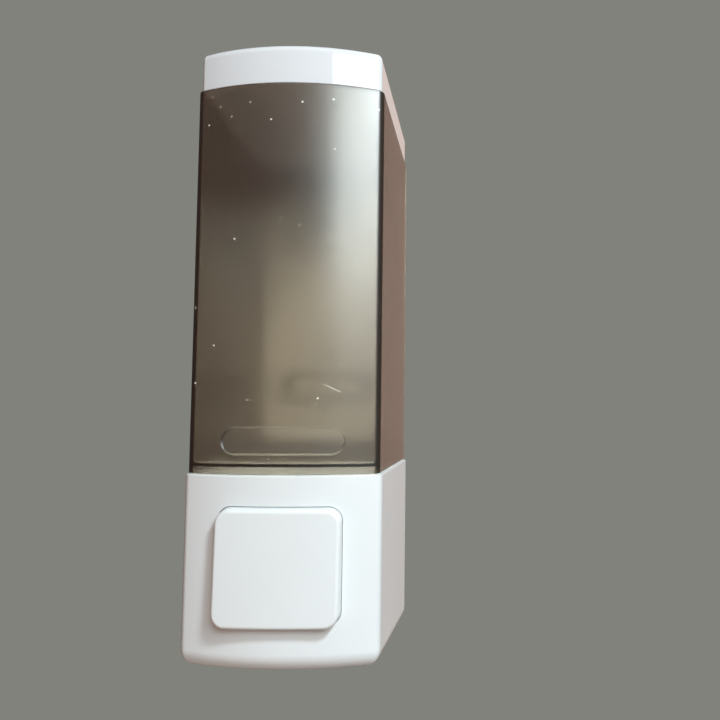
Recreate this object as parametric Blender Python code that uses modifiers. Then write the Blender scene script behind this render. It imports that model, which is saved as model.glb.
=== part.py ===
"""Wall mounted push-button soap dispenser with a smoked tank, modelled piece by piece.

Frame, in metres: the wall is the plane y = 0, the front faces -Y, +X is to the right seen from the
front and +Z is up. The origin is the centre of the wall bracket's back face. Tank, lid and base share
one plan: flat sides, a gently bowed front and rounded front corners. The lid sits a little inside
that plan and the base a little outside it.
"""

import math

import bmesh
import bpy
from mathutils import Matrix, Vector

Y_AXIS = Vector((0, 1, 0))
Z_AXIS = Vector((0, 0, 1))

# Shared plan
WIDTH = 0.0700
CHORD_Y = -0.0781
BOW = 0.0072
CORNER_RADIUS = 0.0030
LEAST_CORNER = 0.0008
REAR_Y = -0.0005
BOW_STEPS = 12
CORNER_STEPS = 5

# Heights
SEAM = 0.0718
BASE_HEIGHT = 0.0682
LID_HEIGHT = 0.0153
SEAM_RISE = 0.0020
UNDERSIDE_DROP = 0.0041

# Clearances between pieces, how far a cutter runs past a face, and a place in front of everything
GAP = 0.0003
SLIDE_GAP = 0.0004
PAST = 0.002
IN_FRONT_Y = -0.100

# Tank
TANK_WALL = 0.0020
TANK_FLOOR = -0.0680
TANK_FLOOR_WALL = 0.0014
TANK_BACK_Y = -0.0110
RECESS_Y = -0.0090
RECESS_HALF = 0.0330

# Lid
LID_INSET = 0.0009
LID_FILLET = 0.0033
LID_WALL = 0.0020
LIP_DEPTH = 0.0035
LIP_WALL = 0.0014
LIP_START_Y = CHORD_Y + 0.0020

# Base
BASE_OUTSET = 0.0009
BASE_FILLET = 0.0062
BASE_WALL = 0.0022
BASE_BOTTOM = -SEAM - BASE_HEIGHT
SPOUT_HOLE = 0.0062

# Wall bracket and the hooks that hang on it
BRACKET_HALF = (0.0315, 0.0605)
BRACKET_PLATE = 0.0030
BRACKET_CORNER = 0.0040
HOOK_HEIGHT = 0.0080
HOOK_BOTTOMS = (-0.0400, 0.0320)
HOOK_STEM_HALF = 0.0120
HOOK_HEAD_HALF = 0.0170
HOOK_HEAD_Y = (-0.0075, -0.0053)
HOOK_RAIL_HALF = 0.0200
HOOK_BAR = 0.0025
WALL_SCREW_Z = 0.0200
WALL_SCREW_HOLE = 0.0023

# Push button
BUTTON_HALF = (0.0214, 0.02055)
BUTTON_RADIUS = 0.0050
BUTTON_X = 0.0007
BUTTON_Z = BASE_BOTTOM + 0.03665
BUTTON_PROUD = 0.0034
BUTTON_BOW = 0.0014
BUTTON_LEAN = 0.0008
BUTTON_DRAFT = 0.0009
BUTTON_FILLET = 0.0012
BUTTON_SLOPE_END = 0.0004
BUTTON_PLATE = 0.0024
BUTTON_SKIRT = 0.0018
BUTTON_REAR_Y = -0.0745
FLANGE = (0.0015, 0.0015)
COLLAR_WALL = 0.0016
COLLAR_REAR_Y = BUTTON_REAR_Y - FLANGE[1] - GAP
SOCKET = 0.0047
SOCKET_REAR_Y = -0.0800

# Pump, on the button's axis
OUTLET_Y = -0.0380
BARREL = 0.0100
BORE = 0.0075
BARREL_Y = (-0.0590, -0.0300)
BORE_END_Y = -0.0330
PORT_TUBE = 0.0060
INLET_TOP = -0.0842
OUTLET_END = -0.1260
PUMP_FLANGE_HALF = (0.0190, 0.0070)
PUMP_FLANGE_Y = (-0.0305, -0.0275)
PUMP_SCREW_X = 0.0140
PUMP_SCREW_HOLE = 0.0016
ROD = 0.0030
ROD_FRONT_Y = -0.0872
PISTON_Y = (-0.0530, -0.0480)
PISTON = 0.0071
PISTON_LAND = 0.0013
SEAL_GROOVE = 0.0012
SEAL_EDGE = 0.0003
SEAL_BEVEL = 0.0005
GLAND_Y = (-0.0618, -0.0593, -0.0560)
RETURN_COIL = 0.0066
RETURN_WIRE = 0.00055
RETURN_TURNS = 8

# Check valves, under the tank's outlet and in the outlet tube
BALL = 0.0030
INLET_BALL_Z = -0.0916
OUTLET_BALL_Z = -0.1170
INLET_FLOOR = -0.0945
INLET_SEAT_BOTTOM = -0.0876
INLET_SLOT_HALF = (0.0014, 0.0035)
INLET_SLOT_DEPTH = 0.0030
OUTLET_SEAT = -0.1145
VALVE_BORE = 0.0041
VALVE_HOLE = 0.0020
VALVE_COIL = 0.0026
VALVE_WIRE = 0.00025
VALVE_TURNS = 6
VALVE_SPRING_DROP = 0.0023

# Nozzle
CUP_WALL = 0.0016
CUP_HEIGHT = 0.0040
CUP_FLOOR_Z = OUTLET_END - 0.0015
SPOUT_TOP = 0.0045
SPOUT_TIP = 0.0042
SPOUT_BORE = 0.0024
SPOUT_TIP_Z = -0.1460
SPOUT_BEVEL = 0.0006

# Tank outlet
NECK = 0.0080
NECK_BORE = 0.0050
NECK_END = -0.0820
NUT_Z = (-0.0786, -0.0736)
NUT_RADIUS = 0.0120
GASKET = (0.0076, 0.0045)

# Rear cover and screws
COVER_HALF_WIDTH = 0.0333
COVER_Z = (-0.1412, -0.0727)
COVER_Y = (-0.0054, -0.0030)
COVER_CORNER = 0.0055
POST_HALF = 0.0040
BOSS = 0.0038
BOSS_Y = (-0.0170, -0.0057)
BOSS_HOLE = 0.0017
POST_HOLE = 0.0015
POST_HOLE_DEPTH = 0.0095
COVER_HOLE = 0.0018
SMALL_ROUND = 16
COVER_SCREWS = ((-0.0300, -0.1355), (0.0300, -0.1355), (-0.0300, -0.0780), (0.0300, -0.0780))

# Screws: length, shank radius and head radius
COVER_SCREW = (0.0115, 0.0014, 0.0027)
PUMP_SCREW = (0.0105, 0.0012, 0.0024)
SCREW_HEAD_HEIGHT = 0.0017
SCREW_TIP = (0.0015, 0.0003)
RECESS_ARMS = (0.12, 0.66)

# Colours
WHITE = (0.86, 0.87, 0.87)
SMOKE = (0.16, 0.13, 0.11)
PUMP_WHITE = (0.80, 0.80, 0.77)
CLEAR_GREY = (0.55, 0.56, 0.56)
SILICONE = (0.62, 0.60, 0.56)
STEEL = (0.60, 0.60, 0.61)


def clear_scene():
    for obj in list(bpy.data.objects):
        bpy.data.objects.remove(obj, do_unlink=True)


def new_collection(name):
    collection = bpy.data.collections.new(name)
    bpy.context.scene.collection.children.link(collection)
    return collection


clear_scene()
PARTS = new_collection("wall_soap_dispenser")
CUTTERS = new_collection("cutters")


def material(name, colour, roughness, metallic=0.0):
    made = bpy.data.materials.new(name)
    made.use_nodes = True
    shader = made.node_tree.nodes["Principled BSDF"]
    shader.inputs["Base Color"].default_value = (*colour, 1.0)
    shader.inputs["Roughness"].default_value = roughness
    shader.inputs["Metallic"].default_value = metallic
    return made


def object_from(name, bm):
    """A helper object in the cutters' collection; finish_part moves the ones that are kept."""
    bmesh.ops.recalc_face_normals(bm, faces=bm.faces)
    mesh = bpy.data.meshes.new(name)
    bm.to_mesh(mesh)
    bm.free()
    obj = bpy.data.objects.new(name, mesh)
    CUTTERS.objects.link(obj)
    obj.hide_render = True
    obj.display_type = "WIRE"
    return obj


def finish_part(obj, look, origin=(0, 0, 0), smooth=True):
    """Makes a helper a named part, with its material and its origin at a point of its own."""
    CUTTERS.objects.unlink(obj)
    PARTS.objects.link(obj)
    obj.hide_render = False
    obj.display_type = "TEXTURED"
    obj.data.materials.append(material(obj.name, *look))
    obj.data.transform(Matrix.Translation(-Vector(origin)) @ obj.matrix_basis)
    obj.matrix_basis = Matrix.Translation(origin)
    if smooth:
        obj.data.shade_smooth()
        obj.data.set_sharp_from_angle(angle=math.radians(35))
    return obj


def combine(obj, operation, *others):
    for other in others:
        boolean = obj.modifiers.new(other.name, "BOOLEAN")
        boolean.operation = operation
        boolean.solver = "EXACT"
        boolean.object = other
    return obj


def cut(obj, *others):
    return combine(obj, "DIFFERENCE", *others)


def join(obj, *others):
    return combine(obj, "UNION", *others)


def box(name, low, high):
    bm = bmesh.new()
    size = [b - a for a, b in zip(low, high)]
    centre = [(a + b) / 2 for a, b in zip(low, high)]
    place = Matrix.Translation(centre) @ Matrix.Diagonal((*size, 1))
    bmesh.ops.create_cube(bm, size=1.0, matrix=place)
    return object_from(name, bm)


def cylinder(name, radius, start, end, segments=28):
    """A solid cylinder between two points."""
    start, end = Vector(start), Vector(end)
    along = end - start
    turn = Z_AXIS.rotation_difference(along).to_matrix().to_4x4()
    bm = bmesh.new()
    bmesh.ops.create_cone(
        bm,
        cap_ends=True,
        segments=segments,
        radius1=radius,
        radius2=radius,
        depth=along.length,
        matrix=Matrix.Translation((start + end) / 2) @ turn,
    )
    return object_from(name, bm)


def ball(name, radius, centre):
    bm = bmesh.new()
    bmesh.ops.create_uvsphere(bm, u_segments=18, v_segments=10, radius=radius)
    bmesh.ops.translate(bm, verts=bm.verts, vec=centre)
    return object_from(name, bm)


def turned(name, profile, axis_point, axis, steps=32):
    """A body of revolution. The profile is (radius, distance along the axis), down its outer side."""
    bm = bmesh.new()
    points = [bm.verts.new((radius, 0, along)) for radius, along in profile]
    closed = all(radius > 0 for radius, _ in profile)
    pairs = list(zip(points, points[1:])) + ([(points[-1], points[0])] if closed else [])
    for pair in pairs:
        bm.edges.new(pair)
    mesh = bpy.data.meshes.new(name)
    bm.to_mesh(mesh)
    bm.free()
    obj = bpy.data.objects.new(name, mesh)
    CUTTERS.objects.link(obj)
    obj.hide_render = True
    screw = obj.modifiers.new("turn", "SCREW")
    screw.steps = steps
    screw.render_steps = steps
    screw.use_merge_vertices = True
    screw.merge_threshold = 0.00001
    turn = Z_AXIS.rotation_difference(Vector(axis)).to_matrix().to_4x4()
    obj.matrix_basis = Matrix.Translation(axis_point) @ turn
    return realise(obj)


def realise(obj):
    """The same object with its modifiers or its curve made into one welded mesh in world space."""
    bpy.context.view_layer.update()
    evaluated = obj.evaluated_get(bpy.context.evaluated_depsgraph_get())
    mesh = bpy.data.meshes.new_from_object(evaluated)
    mesh.transform(obj.matrix_world)
    name = obj.name
    bpy.data.objects.remove(obj, do_unlink=True)
    bm = bmesh.new()
    bm.from_mesh(mesh)
    bmesh.ops.remove_doubles(bm, verts=bm.verts, dist=0.000002)
    bpy.data.meshes.remove(mesh)
    return object_from(name, bm)


def curve_object(name, points, cyclic):
    data = bpy.data.curves.new(name, "CURVE")
    spline = data.splines.new("POLY")
    spline.points.add(len(points) - 1)
    for point, place in zip(spline.points, points):
        point.co = (*place, 1)
    spline.use_cyclic_u = cyclic
    obj = bpy.data.objects.new(name, data)
    CUTTERS.objects.link(obj)
    return obj


def slab(name, outline, y_range):
    """A flat outline in X and Z, thickened along Y."""
    obj = curve_object(name, [(x, z, 0) for x, z in outline], True)
    obj.data.dimensions = "2D"
    obj.data.fill_mode = "BOTH"
    obj.data.extrude = (y_range[1] - y_range[0]) / 2
    upright = Matrix.Rotation(math.pi / 2, 4, "X")
    obj.matrix_basis = Matrix.Translation((0, sum(y_range) / 2, 0)) @ upright
    return realise(obj)


def coil(name, axis_point, axis, length, radius, wire, turns, steps=12):
    """A round-wire compression spring of open turns along an axis."""
    data_turn = Z_AXIS.rotation_difference(Vector(axis)).to_matrix().to_4x4()
    points = []
    for i in range(turns * steps + 1):
        angle = math.tau * i / steps
        along = length * i / (turns * steps)
        points.append((radius * math.cos(angle), radius * math.sin(angle), along))
    obj = curve_object(name, points, False)
    obj.data.dimensions = "3D"
    obj.data.bevel_depth = wire
    obj.data.bevel_resolution = 2
    obj.data.use_fill_caps = True
    obj.matrix_basis = Matrix.Translation(axis_point) @ data_turn
    return realise(obj)


def bow_y(x, inset=0.0):
    """Where the bowed front lies at x, moved inwards by inset."""
    radius = (WIDTH**2 / 4 + BOW**2) / (2 * BOW)
    return CHORD_Y - BOW + radius - math.sqrt((radius - inset) ** 2 - x**2)


def plan(inset, rear_y=REAR_Y):
    """The shared plan moved inwards by inset, from the left rear corner round the front."""
    half = WIDTH / 2 - inset
    corner = max(CORNER_RADIUS - inset, LEAST_CORNER)
    bow_radius = (WIDTH**2 / 4 + BOW**2) / (2 * BOW)
    centre_y = CHORD_Y - BOW + bow_radius
    reach = bow_radius - inset
    corner_y = centre_y - math.sqrt((reach - corner) ** 2 - (half - corner) ** 2)
    meet = math.atan2(corner_y - centre_y, half - corner)
    right = []
    for i in range(CORNER_STEPS + 1):
        angle = meet * (1 - i / CORNER_STEPS)
        right.append((half - corner + corner * math.cos(angle), corner_y + corner * math.sin(angle)))
    front = []
    for i in range(1, BOW_STEPS):
        angle = -math.pi - meet + (2 * meet + math.pi) * i / BOW_STEPS
        front.append((reach * math.cos(angle), centre_y + reach * math.sin(angle)))
    left = [(-x, y) for x, y in reversed(right)]
    return [(-half, rear_y), *left, *front, *right, (half, rear_y)]


def level(z, rise=0.0):
    """A plane at height z at the chord of the front, that rises by rise towards the wall."""
    return lambda y: z + rise * (y - CHORD_Y) / -CHORD_Y


def loft(name, sections):
    """A solid through plan outlines, each at its own level, from the lowest up."""
    bm = bmesh.new()
    rings = [[bm.verts.new((x, y, height(y))) for x, y in outline] for outline, height in sections]
    for lower, upper in zip(rings, rings[1:]):
        for i in range(len(lower)):
            after = (i + 1) % len(lower)
            bm.faces.new((lower[i], lower[after], upper[after], upper[i]))
    bm.faces.new(rings[0])
    bm.faces.new(rings[-1])
    return object_from(name, bm)


def fillet(radius, steps=4):
    """(inset, rise) along a quarter round, from the rounded end to the full outline."""
    return [
        (radius * (1 - math.cos(angle)), radius * (1 - math.sin(angle)))
        for angle in (math.pi / 2 * (1 - i / steps) for i in range(steps + 1))
    ]


def rounded_half(half_width, half_height, radius, steps=4, columns=8):
    """The upper half of a rounded rectangle, left to right, with points along its top."""
    centre_x, centre_z = radius - half_width, half_height - radius
    left = []
    for i in range(steps + 1):
        angle = math.pi - math.pi / 2 * i / steps
        left.append((centre_x + radius * math.cos(angle), centre_z + radius * math.sin(angle)))
    span = half_width - radius
    top = [(-span + 2 * span * i / columns, half_height) for i in range(1, columns)]
    right = [(-x, z) for x, z in reversed(left)]
    return [*left, *top, *right]


def rounded_outline(half, radius, centre=(0.0, 0.0), grow=0.0):
    """A rounded rectangle in X and Z, grown outwards all round."""
    upper = rounded_half(half[0] + grow, half[1] + grow, radius + grow, columns=1)
    x_offset, z_offset = centre
    above = [(x_offset + x, z_offset + z) for x, z in upper]
    below = [(x_offset + x, z_offset - z) for x, z in reversed(upper)]
    return above + below


def bowed_block(name, half, radius, rings):
    """A rounded rectangular block along Y, round the button's middle, from its front back.

    Each ring is (inset, drop of its upper edge, y as a function of x and z).
    """
    bm = bmesh.new()
    loops = []
    for inset, drop, place in rings:
        upper = rounded_half(half[0] - inset, half[1] - inset, max(radius - inset, LEAST_CORNER))
        loop = []
        for scale in (1 - drop / half[1], -1):
            row = [(x, z * scale) for x, z in upper]
            loop.append([bm.verts.new((BUTTON_X + x, place(x, z), BUTTON_Z + z)) for x, z in row])
        loops.append(loop)
    for (top, bottom), (next_top, next_bottom) in zip(loops, loops[1:]):
        ring = [*top, *reversed(bottom)]
        next_ring = [*next_top, *reversed(next_bottom)]
        for i in range(len(ring)):
            after = (i + 1) % len(ring)
            bm.faces.new((ring[i], ring[after], next_ring[after], next_ring[i]))
    for top, bottom in (loops[0], loops[-1]):
        for i in range(len(top) - 1):
            bm.faces.new((top[i], top[i + 1], bottom[i + 1], bottom[i]))
    return object_from(name, bm)


def build_wall_bracket():
    outline = rounded_outline(BRACKET_HALF, BRACKET_CORNER)
    plate = slab("wall_bracket", outline, (-BRACKET_PLATE, 0.0))
    for i, bottom in enumerate(HOOK_BOTTOMS):
        top = bottom + HOOK_HEIGHT
        head_y = HOOK_HEAD_Y
        stem = box(
            f"hook_stem_{i}",
            (-HOOK_STEM_HALF, head_y[0] + PAST / 2, bottom),
            (HOOK_STEM_HALF, -PAST / 2, top),
        )
        head = box(
            f"hook_head_{i}", (-HOOK_HEAD_HALF, head_y[0], bottom), (HOOK_HEAD_HALF, head_y[1], top)
        )
        join(plate, stem, head)
    for i, z in enumerate((-WALL_SCREW_Z, WALL_SCREW_Z)):
        start = (0, HOOK_HEAD_Y[0] - PAST, z)
        cut(plate, cylinder(f"wall_screw_hole_{i}", WALL_SCREW_HOLE, start, (0, PAST, z)))
    return finish_part(plate, (WHITE, 0.45), smooth=False)


def build_tank():
    tank = loft(
        "tank",
        [
            (plan(0), level(-SEAM + GAP, SEAM_RISE)),
            (plan(0), level(SEAM - GAP)),
        ],
    )
    cavity = loft(
        "tank_cavity",
        [
            (plan(TANK_WALL, TANK_BACK_Y), level(TANK_FLOOR)),
            (plan(TANK_WALL, TANK_BACK_Y), level(SEAM + PAST)),
        ],
    )
    recess_end = SEAM + PAST
    recess = box(
        "tank_recess", (-RECESS_HALF, RECESS_Y, -recess_end), (RECESS_HALF, PAST, recess_end)
    )
    neck = cylinder("neck", NECK, (0, OUTLET_Y, TANK_FLOOR - GAP), (0, OUTLET_Y, NECK_END))
    bore_ends = (TANK_FLOOR + PAST, NECK_END - PAST)
    bore = cylinder("neck_bore", NECK_BORE, *((0, OUTLET_Y, z) for z in bore_ends))
    under_floor = loft(
        "under_floor",
        [
            (plan(TANK_WALL, TANK_BACK_Y), level(-SEAM - PAST)),
            (plan(TANK_WALL, TANK_BACK_Y), level(TANK_FLOOR - TANK_FLOOR_WALL)),
        ],
    )
    cut(tank, cavity, under_floor, recess)
    join(tank, neck, *tank_hooks())
    cut(tank, bore)
    return finish_part(tank, (SMOKE, 0.35), smooth=False)


def tank_hooks():
    """Two pairs of L-shaped rails with a bar across their top, that drop over the bracket's hooks."""
    front = RECESS_Y - TANK_WALL / 2
    rear = -BRACKET_PLATE - GAP
    pieces = []
    for i, bottom in enumerate(HOOK_BOTTOMS):
        top = bottom + HOOK_HEIGHT
        for side, name in ((-1, "left"), (1, "right")):
            web = sorted((side * (HOOK_HEAD_HALF + 2 * GAP), side * HOOK_RAIL_HALF))
            lip = sorted((side * (HOOK_STEM_HALF + 2 * GAP), side * HOOK_RAIL_HALF))
            low, high = (web[0], front, bottom), (web[1], rear, top + GAP)
            pieces.append(box(f"rail_web_{name}_{i}", low, high))
            low, high = (lip[0], HOOK_HEAD_Y[1] + GAP, bottom), (lip[1], rear, top + GAP)
            pieces.append(box(f"rail_lip_{name}_{i}", low, high))
        low = (-HOOK_RAIL_HALF, front, top + GAP)
        high = (HOOK_RAIL_HALF, rear, top + GAP + HOOK_BAR)
        pieces.append(box(f"rail_bar_{i}", low, high))
    return pieces


def build_lid():
    top = SEAM + LID_HEIGHT
    rings = [(plan(LID_INSET), level(SEAM))]
    for inset, drop in reversed(fillet(LID_FILLET)):
        rings.append((plan(LID_INSET + inset), level(top - drop)))
    lid = loft("lid", rings)
    inside = loft(
        "lid_inside",
        [
            (plan(LID_INSET + LID_WALL, REAR_Y - LID_WALL), level(SEAM - PAST)),
            (plan(LID_INSET + LID_WALL, REAR_Y - LID_WALL), level(top - LID_WALL)),
        ],
    )
    lip_inset = TANK_WALL + SLIDE_GAP
    lip = loft(
        "lid_lip",
        [
            (plan(lip_inset, TANK_BACK_Y - SLIDE_GAP), level(SEAM - LIP_DEPTH)),
            (plan(lip_inset, TANK_BACK_Y - SLIDE_GAP), level(top - LID_WALL / 2)),
        ],
    )
    lip_rear = TANK_BACK_Y - SLIDE_GAP - LIP_WALL
    lip_inside = loft(
        "lid_lip_inside",
        [
            (plan(lip_inset + LIP_WALL, lip_rear), level(SEAM - LIP_DEPTH - PAST)),
            (plan(lip_inset + LIP_WALL, lip_rear), level(top - LID_WALL)),
        ],
    )
    front_free = box(
        "lip_front_free",
        (-WIDTH, IN_FRONT_Y, SEAM - LIP_DEPTH - PAST),
        (WIDTH, LIP_START_Y, SEAM),
    )
    cut(lid, inside)
    cut(lip, lip_inside, front_free)
    join(lid, lip)
    return finish_part(lid, (WHITE, 0.22), origin=(0, 0, SEAM), smooth=False)


def base_sections(inset, bottom, top, radius, rear_y):
    """Plan sections of the base: a rounded bottom that drops and a top that rises towards the wall."""
    sections = []
    for round_inset, rise in fillet(radius):
        sections.append((plan(inset + round_inset, rear_y), level(bottom + rise, -UNDERSIDE_DROP)))
    sections.append((plan(inset, rear_y), level(top, SEAM_RISE)))
    return sections


def build_base_housing():
    base = loft("base_housing", base_sections(-BASE_OUTSET, BASE_BOTTOM, -SEAM, BASE_FILLET, REAR_Y))
    cavity = loft(
        "base_cavity",
        base_sections(
            BASE_WALL - BASE_OUTSET,
            BASE_BOTTOM + BASE_WALL,
            -SEAM - BASE_WALL,
            BASE_FILLET - BASE_WALL,
            PAST,
        ),
    )
    cut(base, cavity)
    join(base, build_collar(), *boss_cylinders())
    outline = rounded_outline(BUTTON_HALF, BUTTON_RADIUS, (BUTTON_X, BUTTON_Z), SLIDE_GAP)
    opening = slab("button_opening", outline, (IN_FRONT_Y, COLLAR_REAR_Y + PAST))
    deck = (-SEAM - BASE_WALL - PAST, -SEAM + SEAM_RISE + PAST)
    floor = (BASE_BOTTOM - UNDERSIDE_DROP - PAST, BASE_BOTTOM + BASE_WALL + PAST)
    neck_hole = cylinder("neck_hole", NECK + SLIDE_GAP, *((0, OUTLET_Y, z) for z in deck))
    spout_hole = cylinder("spout_hole", SPOUT_HOLE, *((0, OUTLET_Y, z) for z in floor))
    cut(base, opening, neck_hole, spout_hole, *boss_holes())
    return finish_part(base, (WHITE, 0.25), smooth=False)


def build_collar():
    """The sleeve behind the front wall that guides the button."""
    grow = SLIDE_GAP + COLLAR_WALL
    outline = rounded_outline(BUTTON_HALF, BUTTON_RADIUS, (BUTTON_X, BUTTON_Z), grow)
    collar = slab("collar", outline, (IN_FRONT_Y, COLLAR_REAR_Y))
    core = loft(
        "collar_core",
        [
            (plan(BASE_WALL / 2 - BASE_OUTSET, 0.0), level(BASE_BOTTOM)),
            (plan(BASE_WALL / 2 - BASE_OUTSET, 0.0), level(-SEAM)),
        ],
    )
    return realise(combine(collar, "INTERSECT", core))


def boss_cylinders():
    return [
        cylinder(f"screw_boss_{i}", BOSS, (x, BOSS_Y[0], z), (x, BOSS_Y[1], z), SMALL_ROUND)
        for i, (x, z) in enumerate(COVER_SCREWS)
    ]


def boss_holes():
    start, end = BOSS_Y[0] + PAST / 2, BOSS_Y[1] + PAST
    return [
        cylinder(f"boss_hole_{i}", BOSS_HOLE, (x, start, z), (x, end, z), SMALL_ROUND)
        for i, (x, z) in enumerate(COVER_SCREWS)
    ]


def build_rear_cover():
    bottom, top = COVER_Z
    half = COVER_HALF_WIDTH
    radius = COVER_CORNER
    arc = []
    for i in range(CORNER_STEPS + 1):
        angle = math.pi / 2 * i / CORNER_STEPS
        across, down = radius * math.sin(angle), radius * math.cos(angle)
        arc.append((half - radius + across, bottom + radius - down))
    outline = [*arc, (half, top), (-half, top), *((-x, z) for x, z in reversed(arc))]
    cover = slab("rear_cover", outline, COVER_Y)
    for side, name in ((-1, "left"), (1, "right")):
        x = side * PUMP_SCREW_X
        post = box(
            f"pump_post_{name}",
            (x - POST_HALF, PUMP_FLANGE_Y[1] + GAP, BUTTON_Z - POST_HALF),
            (x + POST_HALF, COVER_Y[0] + PAST / 2, BUTTON_Z + POST_HALF),
        )
        start = (x, PUMP_FLANGE_Y[1] - PAST, BUTTON_Z)
        end = (x, PUMP_FLANGE_Y[1] + POST_HOLE_DEPTH, BUTTON_Z)
        join(cover, post)
        cut(cover, cylinder(f"post_hole_{name}", POST_HOLE, start, end, SMALL_ROUND))
    start, end = COVER_Y[0] - PAST, COVER_Y[1] + PAST
    for i, (x, z) in enumerate(COVER_SCREWS):
        cut(cover, cylinder(f"cover_hole_{i}", COVER_HOLE, (x, start, z), (x, end, z), SMALL_ROUND))
    return finish_part(cover, (WHITE, 0.5), smooth=False)


def button_face(x, z):
    """The button's front at a place on it: flatter than the base's, and further out at its foot."""
    middle = bow_y(BUTTON_X, -BASE_OUTSET - BUTTON_PROUD)
    return middle + BUTTON_BOW * (x / BUTTON_HALF[0]) ** 2 + BUTTON_LEAN * z / BUTTON_HALF[1]


def flat(y):
    """A ring's place that is the same all over."""
    return lambda x, z: y


def build_push_button():
    rings = [
        (inset, BUTTON_DRAFT, lambda x, z, back=back: button_face(x, z) + back)
        for inset, back in fillet(BUTTON_FILLET, 3)
    ]
    rings.append((0.0, 0.0, lambda x, z: bow_y(x, -BASE_OUTSET) + BUTTON_SLOPE_END))
    rings.append((0.0, 0.0, flat(BUTTON_REAR_Y)))
    button = bowed_block("push_button", BUTTON_HALF, BUTTON_RADIUS, rings)
    flange_half = tuple(half + FLANGE[0] for half in BUTTON_HALF)
    flange_rings = [(0.0, 0.0, flat(y)) for y in (BUTTON_REAR_Y - FLANGE[1], BUTTON_REAR_Y)]
    flange = bowed_block("button_flange", flange_half, BUTTON_RADIUS + FLANGE[0], flange_rings)
    hollow_rings = [
        (BUTTON_SKIRT, BUTTON_DRAFT, lambda x, z: button_face(x, z) + BUTTON_PLATE),
        (BUTTON_SKIRT, 0.0, flat(BUTTON_REAR_Y + PAST)),
    ]
    hollow = bowed_block("button_hollow", BUTTON_HALF, BUTTON_RADIUS, hollow_rings)
    socket_start = (0, button_face(0, 0) + BUTTON_PLATE / 2, BUTTON_Z)
    socket = cylinder("rod_socket", SOCKET, socket_start, (0, SOCKET_REAR_Y, BUTTON_Z), 24)
    hole_ends = (ROD_FRONT_Y - GAP, SOCKET_REAR_Y + PAST)
    hole = cylinder("rod_hole", ROD + GAP, *((0, y, BUTTON_Z) for y in hole_ends), 24)
    join(button, flange)
    cut(button, hollow)
    join(button, socket)
    cut(button, hole)
    return finish_part(button, (WHITE, 0.3), origin=(0, 0, BUTTON_Z), smooth=False)


def build_piston():
    front, back = PISTON_Y
    groove = PISTON - SEAL_GROOVE
    profile = [
        (0.0, back),
        (PISTON, back),
        (PISTON, back - PISTON_LAND),
        (groove, back - PISTON_LAND),
        (groove, front + PISTON_LAND),
        (PISTON, front + PISTON_LAND),
        (PISTON, front),
        (ROD, front),
        (ROD, ROD_FRONT_Y),
        (0.0, ROD_FRONT_Y),
    ]
    piston = turned("piston", profile, (0, 0, BUTTON_Z), Y_AXIS, 24)
    return finish_part(piston, (PUMP_WHITE, 0.4), origin=(0, 0, BUTTON_Z))


def build_piston_seal():
    front = PISTON_Y[0] + PISTON_LAND + GAP
    back = PISTON_Y[1] - PISTON_LAND - GAP
    inner = PISTON - SEAL_GROOVE + GAP
    outer = BORE - GAP / 2
    profile = [
        (inner, back),
        (outer - SEAL_EDGE, back),
        (outer, back - SEAL_BEVEL),
        (outer, front + SEAL_BEVEL),
        (outer - SEAL_EDGE, front),
        (inner, front),
    ]
    seal = turned("piston_seal", profile, (0, 0, BUTTON_Z), Y_AXIS, 24)
    return finish_part(seal, (SILICONE, 0.6), origin=(0, 0, BUTTON_Z))


def build_return_spring():
    front = button_face(0, 0) + BUTTON_PLATE + GAP + RETURN_WIRE
    length = GLAND_Y[0] - GAP - RETURN_WIRE - front
    start = (0, front, BUTTON_Z)
    spring = coil("return_spring", start, Y_AXIS, length, RETURN_COIL, RETURN_WIRE, RETURN_TURNS)
    return finish_part(spring, (STEEL, 0.3, 1.0), origin=(0, 0, BUTTON_Z))


def build_pump_body():
    barrel = cylinder(
        "pump_body", BARREL, (0, BARREL_Y[0], BUTTON_Z), (0, BARREL_Y[1], BUTTON_Z), 36
    )
    half_width, half_height = PUMP_FLANGE_HALF
    flange = box(
        "pump_flange",
        (-half_width, PUMP_FLANGE_Y[0], BUTTON_Z - half_height),
        (half_width, PUMP_FLANGE_Y[1], BUTTON_Z + half_height),
    )
    inlet = port_cylinder("inlet_tube", PORT_TUBE, BUTTON_Z, INLET_TOP)
    outlet = port_cylinder("outlet_tube", PORT_TUBE, BUTTON_Z, OUTLET_END)
    join(barrel, flange, inlet, outlet)
    bore_ends = (BARREL_Y[0] - PAST, BORE_END_Y)
    bore = cylinder("pump_bore", BORE, *((0, y, BUTTON_Z) for y in bore_ends), 36)
    inlet_valve = port_cylinder("inlet_valve_bore", VALVE_BORE, INLET_FLOOR, INLET_TOP + PAST)
    width, depth = INLET_SLOT_HALF
    slot = box(
        "inlet_slot",
        (-width, OUTLET_Y - depth, INLET_FLOOR - INLET_SLOT_DEPTH),
        (width, OUTLET_Y + depth, INLET_FLOOR + PAST / 4),
    )
    port = port_cylinder("outlet_port", VALVE_HOLE, BUTTON_Z - BORE / 2, OUTLET_SEAT - PAST / 2)
    outlet_valve = port_cylinder("outlet_valve_bore", VALVE_BORE, OUTLET_END - PAST, OUTLET_SEAT)
    cut(barrel, bore, inlet_valve, slot, port, outlet_valve)
    start, end = PUMP_FLANGE_Y[0] - PAST, PUMP_FLANGE_Y[1] + PAST
    for side, name in ((-1, "left"), (1, "right")):
        x = side * PUMP_SCREW_X
        hole_ends = ((x, start, BUTTON_Z), (x, end, BUTTON_Z))
        cut(barrel, cylinder(f"flange_hole_{name}", PUMP_SCREW_HOLE, *hole_ends, SMALL_ROUND))
    return finish_part(barrel, (PUMP_WHITE, 0.4), smooth=False)


def port_cylinder(name, radius, bottom, top):
    """A cylinder on the vertical axis of the tank's outlet and the spout."""
    return cylinder(name, radius, (0, OUTLET_Y, bottom), (0, OUTLET_Y, top), 24)


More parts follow.
